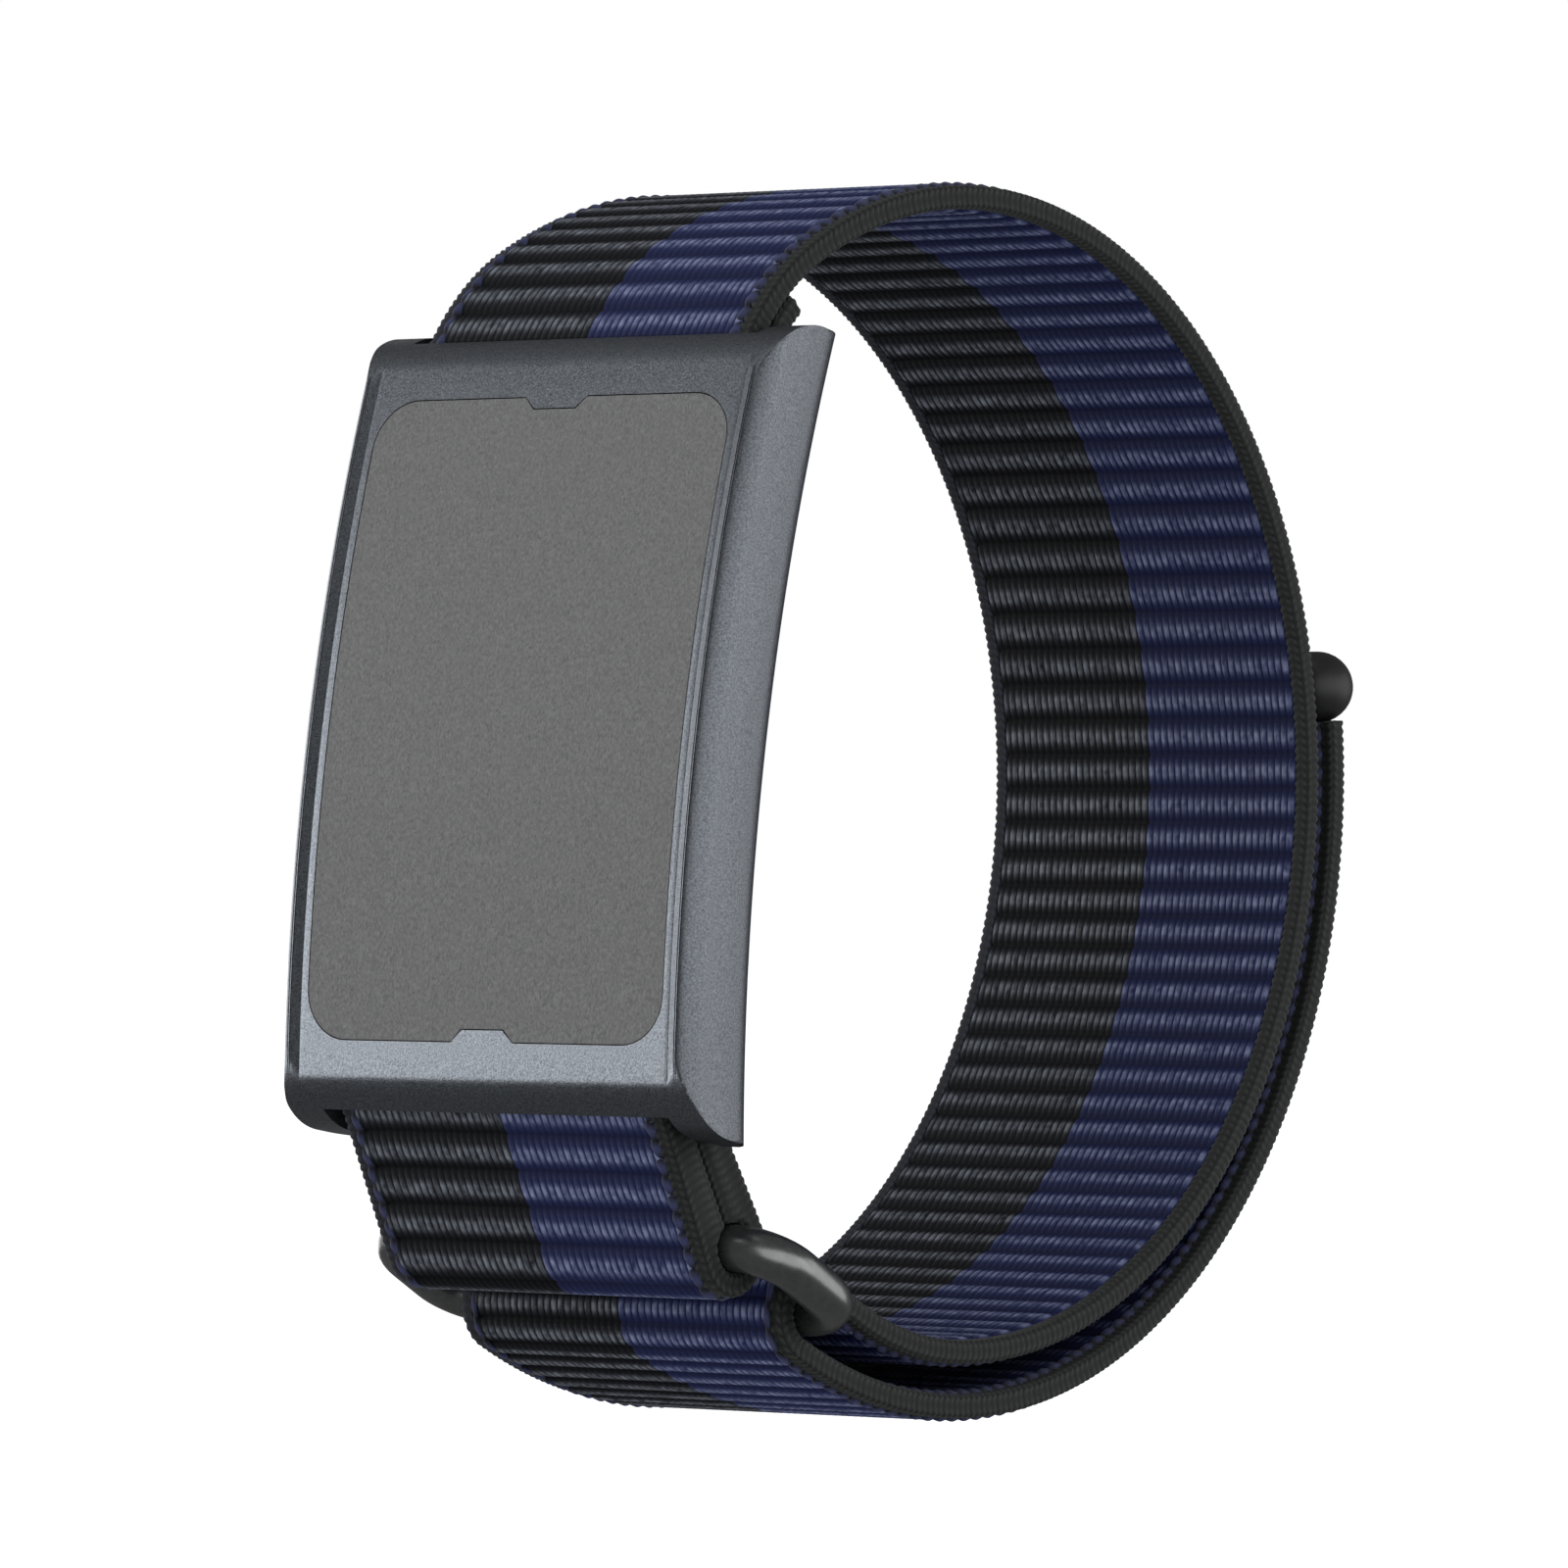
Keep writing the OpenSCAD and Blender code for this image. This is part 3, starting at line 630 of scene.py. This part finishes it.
PARTS_OF_RUN = (
    ("strap", 0.0, AT_HEEL, "strap"),
    ("wrap", AT_HEEL, AT_WRAP, None),
    ("tail", AT_WRAP, AT_TIP, "tail"),
)
CORD_FACES = (("outer", TAPE_HALF_T), ("inner", -TAPE_HALF_T))
NO_CORD = (("strap", "inner"), ("wrap", "outer"))  # against the wrist, and against the ring
crossing = [wrap_weave]  # what bends between the strap and the tail
for word, start, end, body in PARTS_OF_RUN:
    for side, where in ((1, "near"), (-1, "far")):
        tape = edging(f"{word}_edging_{where}", strap_run, start, end, side, body)
        cords = [
            beads(f"{word}_{face}_cord_{where}", strap_run, start, end, side, body, off)
            for face, off in CORD_FACES
            if (word, face) not in NO_CORD
        ]
        if body:
            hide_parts(f"{word}_binding_{where}")
        else:
            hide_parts(f"fold_binding_{where}")
            crossing += [tape, *cords]


for piece in crossing:
    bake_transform(piece)

# ---- the tab: a closed fold of the same webbing ----
TAB_A, TAB_B = 1.3, 1.8  # radii of its middle round the spring bar and round the ring
tab_line = TAB_BAR - BOTTOM_BAR
tab_len = np.linalg.norm(tab_line)
tab_head = heading(tab_line)
tab_slope = math.degrees(math.asin((TAB_B - TAB_A) / tab_len))
front_turn = tab_head - 90 - tab_slope
back_turn = tab_head + 90 + tab_slope
tab_run = Run(
    (
        "line",
        BOTTOM_BAR + TAB_A * beam(front_turn),
        TAB_BAR + TAB_B * beam(front_turn),
        beam(front_turn),
    ),
    ("arc", TAB_BAR, TAB_B, front_turn, back_turn, 1),
    (
        "line",
        TAB_BAR + TAB_B * beam(back_turn),
        BOTTOM_BAR + TAB_A * beam(back_turn),
        beam(back_turn),
    ),
    ("arc", BOTTOM_BAR, TAB_A, back_turn, front_turn + 360, 1),
)


def tab_hugging(s, sign):
    """The tab's inner faces are pressed flat, and so is what swings inside the case's slot."""
    return (sign < 0) | (s < 2.2) | (s > tab_run.length - 5)


def tab_reach(s):
    """How far in from its own layer the tape at the tab's side goes, so that the two layers meet."""
    spots = tab_run.at(s, 0.0, 0.0)[:, 1:]
    axis = beam(tab_head)
    along = (spots - BOTTOM_BAR) @ axis
    away = np.abs((spots - BOTTOM_BAR) @ beam(tab_head + 90))
    gap = np.full(len(s), 0.08)
    for bar, r in ((0.0, 0.72), (tab_len, 1.3)):
        gap = np.maximum(gap, np.sqrt(np.maximum(r**2 - (along - bar) ** 2, 0)))
    on_line = (along > 0) & (along < tab_len)
    return np.where(on_line, np.maximum(away - gap, TAPE_HALF_T), TAPE_HALF_T)


tab_rib = tab_run.length / round(tab_run.length / 2.0)
TAB_RIBS = Ribs((0, tab_rib), (tab_run.length, tab_rib))
tab_end = tab_run.length
tab_weave = weave(
    "tab_weave",
    tab_run,
    TAB_RIBS,
    0,
    tab_end,
    "tab",
    YARN_FINE,
    YARN_PLAIN,
    around=True,
    tight=tab_hugging,
)
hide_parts("short_tab")
for side, where in ((1, "near"), (-1, "far")):
    name = f"tab_edging_{where}"
    tape = edging(name, tab_run, 0, tab_end, side, "tab", around=True, inner_reach=tab_reach)
    beads(f"tab_cord_{where}", tab_run, 0, tab_end, side, "tab", TAPE_HALF_T, around=True)
    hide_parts(f"tab_binding_{where}")

# ---- ring ----
RING_HALF, RING_BEND = 12.2, 2.4


def ring():
    mid = (RING_BAR + TAB_BAR) / 2
    span = np.linalg.norm(RING_BAR - TAB_BAR)
    up = beam(heading(TAB_BAR - RING_BAR))
    spots = []
    for cx, cv, a0 in (
        (RING_HALF - RING_BEND, span / 2 - RING_BEND, 0),
        (-(RING_HALF - RING_BEND), span / 2 - RING_BEND, 90),
        (-(RING_HALF - RING_BEND), -(span / 2 - RING_BEND), 180),
        (RING_HALF - RING_BEND, -(span / 2 - RING_BEND), 270),
    ):
        for a in np.linspace(a0, a0 + 90, 12):
            turn = math.radians(a)
            spots.append((cx + RING_BEND * math.cos(turn), cv + RING_BEND * math.sin(turn)))
    spots = np.array(spots)
    ahead = np.roll(spots, -1, 0) - np.roll(spots, 1, 0)
    ahead /= np.linalg.norm(ahead, axis=1)[:, None]
    out = np.stack([ahead[:, 1], -ahead[:, 0]], 1)
    depth = np.array([0, -up[1], up[0]])

    def lift(v):
        return np.stack([v[:, 0], v[:, 1] * up[0], v[:, 1] * up[1]], 1)

    centre = lift(spots) + np.array([0, mid[0], mid[1]])
    turn = np.linspace(0, 2 * np.pi, 32, endpoint=False)
    grid = (
        centre[:, None, :]
        + WIRE_R * np.cos(turn)[None, :, None] * lift(out)[:, None, :]
        + WIRE_R * np.sin(turn)[None, :, None] * depth[None, None, :]
    )
    piece = skin("ring_wire", "ring_metal", grid, along=True, body="ring")
    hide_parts("oval_ring")


ring()


# ---- pull bar ----
PULL_R, PULL_HALF = 1.85, 10.5


def pull_bar():
    turn = math.radians(TAIL_END + 3.2)
    mid = TAIL_C + (TAIL_R + 0.35) * np.array([math.cos(turn), math.sin(turn)])
    ball = np.linspace(0, np.pi / 2, 12)
    straight = PULL_HALF - PULL_R
    profile = [(-straight - PULL_R * math.cos(a), PULL_R * math.sin(a)) for a in ball[1:]]
    profile += [(x, PULL_R) for x in np.linspace(-straight, straight, 21)[1:-1]]
    profile += [(-x, r) for x, r in profile[:11]][::-1]
    profile = np.array([(-PULL_HALF, 0.02), *profile, (PULL_HALF, 0.02)])
    a = np.linspace(0, 2 * np.pi, 40, endpoint=False)
    grid = np.stack(
        [
            np.repeat(profile[:, :1], 40, 1),
            mid[0] + profile[:, 1:] * np.cos(a)[None, :],
            mid[1] + profile[:, 1:] * np.sin(a)[None, :],
        ],
        -1,
    )
    piece = skin("pull_bar_body", "pull_plastic", grid, body="tail")
    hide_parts("pull_bar")


pull_bar()


# ---- stitches ----
def stitches(name, run, places, sign, body, half_width, replaced):
    """Rows of lockstitch across the webbing: each stitch a short bulging thread."""
    grids = []
    for s in places:
        for x in np.arange(-half_width, half_width, 1.6):
            t = np.linspace(0, 1, 7)
            turn = np.linspace(0, 2 * np.pi, 6, endpoint=False)
            r = 0.06 + 0.10 * np.sin(np.pi * t) ** 0.5
            lift = 0.66 + 0.09 * np.sin(np.pi * t)
            xs = x + 0.3 + t * 1.1
            grids.append(
                run.at(
                    s + np.cos(turn)[None, :] * r[:, None],
                    np.repeat(xs[:, None], 6, 1),
                    sign * (lift[:, None] + np.sin(turn)[None, :] * r[:, None]),
                )
            )
    points, faces = [], []
    for g in grids:
        base = len(points)
        rows, cols, _ = g.shape
        points += (g.reshape(-1, 3) * MM).tolist()
        for i in range(rows - 1):
            for j in range(cols):
                k = (j + 1) % cols
                here, ahead = base + i * cols, base + (i + 1) * cols
                faces.append((here + j, ahead + j, ahead + k, here + k))
        faces.append(tuple(base + j for j in range(cols)))
        faces.append(tuple(base + (rows - 1) * cols + j for j in reversed(range(cols))))
    mesh = bpy.data.meshes.new(name)
    mesh.from_pydata(points, [], faces)
    layer = mesh.attributes.new("rise", "FLOAT", "POINT")
    layer.data.foreach_set("value", np.full(len(points), 0.8, np.float32))
    for poly in mesh.polygons:
        poly.use_smooth = len(poly.vertices) == 4
    mesh.materials.append(FINISHES["thread"])
    piece = bpy.data.objects.new(name, mesh)
    bpy.context.scene.collection.objects.link(piece)
    outward(piece)
    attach(piece, body)
    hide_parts(replaced)


ROW_HALF = 8.5
tab_back = tab_run.marks[1]
tab_rows_at = (tab_back + 2.2, tab_back + 3.4)
stitches("sewn_end_rows", strap_run, (0.35, 0.85), 1, "strap", ROW_HALF, "sewn_end_stitching")
stitches("tab_rows", tab_run, tab_rows_at, 1, "tab", ROW_HALF, "tab_stitching")
stitches("pull_bar_rows", strap_run, (AT_TIP - 2.5,), -1, "tail", ROW_HALF, "pull_bar_stitching")


# ---- hook and loop ----
def nap(name, finish, run, start, end, low, high, half, body, replaced, pitch, depth):
    """A patch whose outer face is a field of small tufts."""
    s = np.linspace(start, end, max(8, int((end - start) / (pitch / 2))))
    x = np.linspace(-half, half, int(4 * half / pitch) + 1)
    slanted = np.pi * x / pitch + np.pi * s[:, None] / pitch / 2
    tuft = np.abs(np.sin(np.pi * s / pitch))[:, None] * np.abs(np.sin(slanted))
    face = run.at(s[:, None], x[None, :], high + depth * (tuft - 1))
    back = run.at(s[:, None], x[None, ::-1], np.full((len(s), len(x)), low))
    grid = np.concatenate([face, back], 1)
    piece = skin(name, finish, grid, body=body)
    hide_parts(replaced)


def run_place(c, angle):
    """Length along the strap's path of the point seen from c at this angle."""
    ray = strap_run.spots - c
    turn = np.degrees(np.arctan2(ray[:, 1], ray[:, 0]))
    on_loop = (strap_run.s > AT_SHOULDER) & (strap_run.s < AT_LOOP)
    inside = on_loop if c is LOOP_C else strap_run.s > AT_WRAP
    miss = np.where(inside, np.abs(turn - angle), 999)
    return strap_run.s[int(np.argmin(miss))]


PATCH_LOW, PATCH_HALF = 0.45, 7.5
nap(
    "pile_patch",
    "loop_pile",
    strap_run,
    run_place(LOOP_C, 4),
    run_place(LOOP_C, -64),
    PATCH_LOW,
    0.9,
    PATCH_HALF,
    "strap",
    "loop_pile",
    pitch=0.5,
    depth=0.14,
)
nap(
    "hook_tape_patch",
    "hook_tape",
    strap_run,
    run_place(TAIL_C, -52),
    run_place(TAIL_C, TAIL_END - 1),
    PATCH_LOW,
    1.05,
    PATCH_HALF,
    "tail",
    "hook_patch",
    pitch=0.7,
    depth=0.2,
)

# ---- the case: one swept shell with its rolled ends, sunken face, grooves and crown ----
FRONT_R, END_R, CASE_L, CASE_T, CASE_REACH = 116.0, 3.9, 39.5, 5.6, 22.4
ARC_Y = FRONT_R - CASE_REACH
FACE_DROP = 0.2
CASE_HALF = 12.95  # half its width, at the cheeks' fullest
CROWN_R, CROWN_X, CROWN_DEPTH = 1.55, 11.35, 1.34
CHEEK_X, CHEEK_DROP = 12.9, 2.26
ROLL_R, ROLL_X, ROLL_DEPTH = 2, 10.9, 3.6
GROOVE_DEPTH = 0.1


def in_case(points):
    """From the case's own frame (across, in, up) to the band's."""
    x, y, z = points[..., 0], points[..., 1], points[..., 2] + CASE_SHIFT
    c, s = math.cos(LEAN), math.sin(LEAN)
    return np.stack([x, y * c + z * s, -y * s + z * c], -1)


def case_section():
    """Half of the section across the case, as places across and depths below the crest."""
    face = [(x, FACE_DROP) for x in (0, 3, 6, 9, 10.6, 11.2, 11.4)]
    strip = [(11.47, 0.215), (11.55, 0.18), (11.75, 0.085), (11.94, 0.0)]
    grooves = [(x, GROOVE_DEPTH) for x in (11.955, 11.985)] + [(12.0, 0.0), (12.045, 0.0)]
    grooves += [(x, GROOVE_DEPTH) for x in (12.06, 12.09)] + [(12.105, 0.0)]
    crown = [
        (CROWN_X + CROWN_R * math.sin(a), CROWN_DEPTH - CROWN_R * math.cos(a))
        for a in np.radians(np.linspace(32, 90, 14))
    ]
    cheek = [
        (CHEEK_X + 0.05 * math.sin(math.pi * t), CROWN_DEPTH + CHEEK_DROP * t)
        for t in np.linspace(0.1, 0.9, 8)
    ]
    roll = [
        (ROLL_X + ROLL_R * math.cos(a), ROLL_DEPTH + ROLL_R * math.sin(a))
        for a in np.radians(np.linspace(0, 90, 14))
    ]
    back = [(x, CASE_T) for x in (9, 6, 3, 0)]
    return np.array(face + strip + grooves + crown + cheek + roll + back)


def case_rows():
    """Directions seen from the middle of the long curve, and how deep the rolled end cuts there."""
    end_z = CASE_L / 2 - END_R
    arc_turn = math.asin(end_z / (FRONT_R - END_R))
    end_in = (FRONT_R - END_R) * math.cos(arc_turn)
    rows = [(a, 0.0) for a in np.linspace(0, arc_turn, 26)[:-1]]
    for a in np.linspace(arc_turn, math.pi / 2, 34):
        y, z = end_in + END_R * math.cos(a), end_z + END_R * math.sin(a)
        rows.append((math.atan2(z, y), FRONT_R - math.hypot(y, z)))
    for depth in np.linspace(END_R, CASE_T - 0.2, 7)[1:]:
        rows.append((math.asin(CASE_L / 2 / (FRONT_R - depth)), depth))
    return [(-a, d) for a, d in rows[:0:-1]] + rows


def half_width(cut):
    """Half the case's width at this depth below the crest of its front."""
    if cut > ROLL_DEPTH:
        return ROLL_X + ROLL_R * math.sqrt(1 - ((cut - ROLL_DEPTH) / ROLL_R) ** 2)
    return CASE_HALF


def case_shell():
    half = case_section()
    other = half[1:-1][::-1] * np.array([-1, 1])
    section = np.vstack([half, other])
    grid = []
    for turn, cut in case_rows():
        r = FRONT_R - np.maximum(section[:, 1], cut)
        narrowed = section[:, 0] * half_width(cut) / CASE_HALF
        x = np.where(section[:, 1] < cut, narrowed, section[:, 0])
        grid.append(np.stack([x, ARC_Y - r * math.cos(turn), r * math.sin(turn)], -1))
    return in_case(np.array(grid))


def prism(name, outline, lift, depth):
    """A closed block from an outline: lift places its points in the case's frame at two depths."""
    ends = [in_case(np.array([lift(p, d) for p in outline])) for d in depth]
    count = len(outline)
    faces = [tuple(range(count)), tuple(range(2 * count - 1, count - 1, -1))]
    faces += [(i, i + count, (i + 1) % count + count, (i + 1) % count) for i in range(count)]
    mesh = bpy.data.meshes.new(name)
    mesh.from_pydata((np.vstack(ends) * MM).tolist(), [], faces)
    piece = bpy.data.objects.new(name, mesh)
    bpy.context.scene.collection.objects.link(piece)
    outward(piece)
    return piece


def rounded_outline(w, l, r):
    right, top = w / 2 - r, l / 2 - r
    corners = ((right, top, 0), (-right, top, 90), (-right, -top, 180), (right, -top, 270))
    spots = []
    for cx, cz, a0 in corners:
        for a in np.radians(np.linspace(a0, a0 + 90, 14)):
            spots.append((cx + r * math.cos(a), cz + r * math.sin(a)))
    return spots


PANEL_W, PANEL_L, PANEL_R, PANEL_GAP = 22.0, 31.6, 2.4, 0.06
NOTCH_W, NOTCH_D = 3.85, 0.6
MODULE_W, MODULE_L, MODULE_R = 21.0, 28.8, 2.1
SLOT_R, SLOT_LIP, SLOT_TOP, SLOT_BACK, SLOT_HALF = 2.05, -1.05, 3.4, 6, 10.75


def panel_outline(grow):
    spots = rounded_outline(PANEL_W + 2 * grow, PANEL_L + 2 * grow, PANEL_R + grow)
    low = NOTCH_W / 2 - NOTCH_D - grow
    edge, tip = PANEL_L / 2 + grow, PANEL_L / 2 - NOTCH_D + grow
    top = [(NOTCH_W / 2, edge), (low, tip), (-low, tip), (-NOTCH_W / 2, edge)]
    foot = [(-x, -z) for x, z in top]
    return spots[:14] + top + spots[14:42] + foot + spots[42:]


def slot_outline(side):
    """The opening for one spring bar and the webbing round it, seen from the case's side."""
    turns = np.radians(np.linspace(270, 180, 14))
    spots = [(SLOT_R * math.cos(a), SLOT_R * math.sin(a)) for a in turns]
    spots += [(SLOT_LIP, SLOT_TOP), (SLOT_BACK, SLOT_TOP), (SLOT_BACK, -SLOT_R)]
    return [(-BAR_OUT + y, side * (BAR_UP + z)) for y, z in spots]


def cut(piece, cutter):
    """Takes the cutter's volume out of the piece, and removes the cutter."""
    mod = piece.modifiers.new("cut", "BOOLEAN")
    mod.operation, mod.solver, mod.object = "DIFFERENCE", "MANIFOLD", cutter
    bpy.context.view_layer.update()
    made = bpy.data.meshes.new_from_object(piece.evaluated_get(bpy.context.evaluated_depsgraph_get()))
    piece.modifiers.clear()
    piece.data = made
    bpy.data.objects.remove(cutter)


def from_front(p, depth):
    return (p[0], -CASE_REACH + depth, p[1])


def from_side(p, across):
    return (across, p[0], p[1])


shell = skin("case_shell", "case_metal", case_shell())
module_outline = rounded_outline(MODULE_W, MODULE_L, MODULE_R)
cut(shell, prism("window_cut", panel_outline(PANEL_GAP), from_front, (-2.0, 2.1)))
cut(shell, prism("module_cut", module_outline, from_front, (1.0, 12)))
for side in (1, -1):
    cut(shell, prism("slot_cut", slot_outline(side), from_side, (-SLOT_HALF, SLOT_HALF)))
for poly in shell.data.polygons:
    poly.use_smooth = True
shell.data.set_sharp_from_angle(angle=math.radians(28))
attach(shell, "case")
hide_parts("carrier_frame")

# ---- the case and what is in it keep their shapes and get their finishes ----
NODE_FINISH = {
    "front_panel": "panel_skin",
    "panel_gasket": "gasket",
    "module_chassis": "module_plastic",
    "rear_cover": "cover_plastic",
    "battery_cell": "battery_foil",
    "main_board": "board",
    "shield_can": "shield_metal",
    "sensor_board": "board",
    "board_flex": "flex",
    "antenna_strip": "flex",
    "vibration_motor": "steel",
    "optical_barrier": "optical_black",
    "sensor_window": "sensor_glass",
    "led_left": "led_green",
    "led_middle": "led_red",
    "led_right": "led_green",
    "photodiode_top": "photodiode",
    "photodiode_bottom": "photodiode",
    "skin_thermistor": "steel",
    "charge_contact_left": "gold",
    "charge_contact_right": "gold",
}
for name, node in nodes.items():
    finish = NODE_FINISH.get(name)
    if finish is None and name.startswith(("cover_screw", "top_", "bottom_")):
        finish = "steel"
    if finish:
        for at in range(len(node.material_slots)):
            node.material_slots[at].material = FINISHES[finish]


# ---- studio ----
def softbox(name, spot, width, height, power, sheen_only=False):
    """A lamp of this size that faces the band."""
    light = bpy.data.lights.new(name, "AREA")
    light.shape, light.size, light.size_y = "RECTANGLE", width, height
    light.energy = power
    lamp = bpy.data.objects.new(name, light)
    bpy.context.scene.collection.objects.link(lamp)
    lamp.location = spot
    lamp.rotation_euler = (-Vector(spot)).to_track_quat("-Z", "Y").to_euler()
    lamp.visible_camera = False
    lamp.visible_diffuse = not sheen_only


# all but the one overhead show only as reflections
softbox("front_left_box", (-0.55, -0.37, 0.03), 0.62, 0.42, 3.3, sheen_only=True)
softbox("back_right_box", (0.48, 0.5, 0.03), 0.6, 0.5, 1.25, sheen_only=True)
softbox("back_left_box", (-0.58, 0.3, 0.05), 0.35, 0.4, 1.2, sheen_only=True)
softbox("camera_side_box", (0.58, -0.16, 0.08), 1.12, 0.5, 2.4, sheen_only=True)
softbox("over_box", (-0.15, -0.3, 0.6), 0.6, 0.6, 0.8)

world = bpy.data.worlds.new("studio")
bpy.context.scene.world = world
world.use_nodes = True
sky = world.node_tree
sky.nodes.clear()
ray = sky.nodes.new("ShaderNodeLightPath")


def dome(strength, shade=(1, 1, 1, 1)):
    n = sky.nodes.new("ShaderNodeBackground")
    n.inputs[0].default_value, n.inputs[1].default_value = shade, strength
    return n.outputs[0]


def either(kind, otherwise, for_that_ray):
    n = sky.nodes.new("ShaderNodeMixShader")
    sky.links.new(ray.outputs[kind], n.inputs[0])
    sky.links.new(otherwise, n.inputs[1])
    sky.links.new(for_that_ray, n.inputs[2])
    return n.outputs[0]


# white behind the band, an even dome on cloth, and a dimmer one in reflections
around = either("Is Glossy Ray", dome(0.5, (0.97, 0.98, 1, 1)), dome(0.13))
sky_out = sky.nodes.new("ShaderNodeOutputWorld")
sky.links.new(either("Is Camera Ray", around, dome(1.0)), sky_out.inputs[0])

floor_finish = Finish("studio_floor", Base_Color=(0.9, 0.9, 0.9, 1), Roughness=0.9)
floor_finish.shader.inputs["Emission Color"].default_value = (1, 1, 1, 1)
floor_finish.shader.inputs["Emission Strength"].default_value = 0.75
FLOOR_DROP, FLOOR_HALF = 45 * MM, 3  # far enough down to clear the peeled tail's swing
floor_z = cad_box[0][2] - FLOOR_DROP
floor_mesh = bpy.data.meshes.new("studio_floor")
floor_corners = [(x * FLOOR_HALF, y * FLOOR_HALF, floor_z) for x, y in ((-1, -1), (1, -1), (1, 1), (-1, 1))]
floor_mesh.from_pydata(floor_corners, [], [(0, 1, 2, 3)])
floor_mesh.materials.append(floor_finish.material)
floor = bpy.data.objects.new("studio_floor", floor_mesh)
bpy.context.scene.collection.objects.link(floor)
floor.visible_diffuse = False
floor.visible_glossy = False

bpy.context.scene.view_settings.view_transform = "Standard"
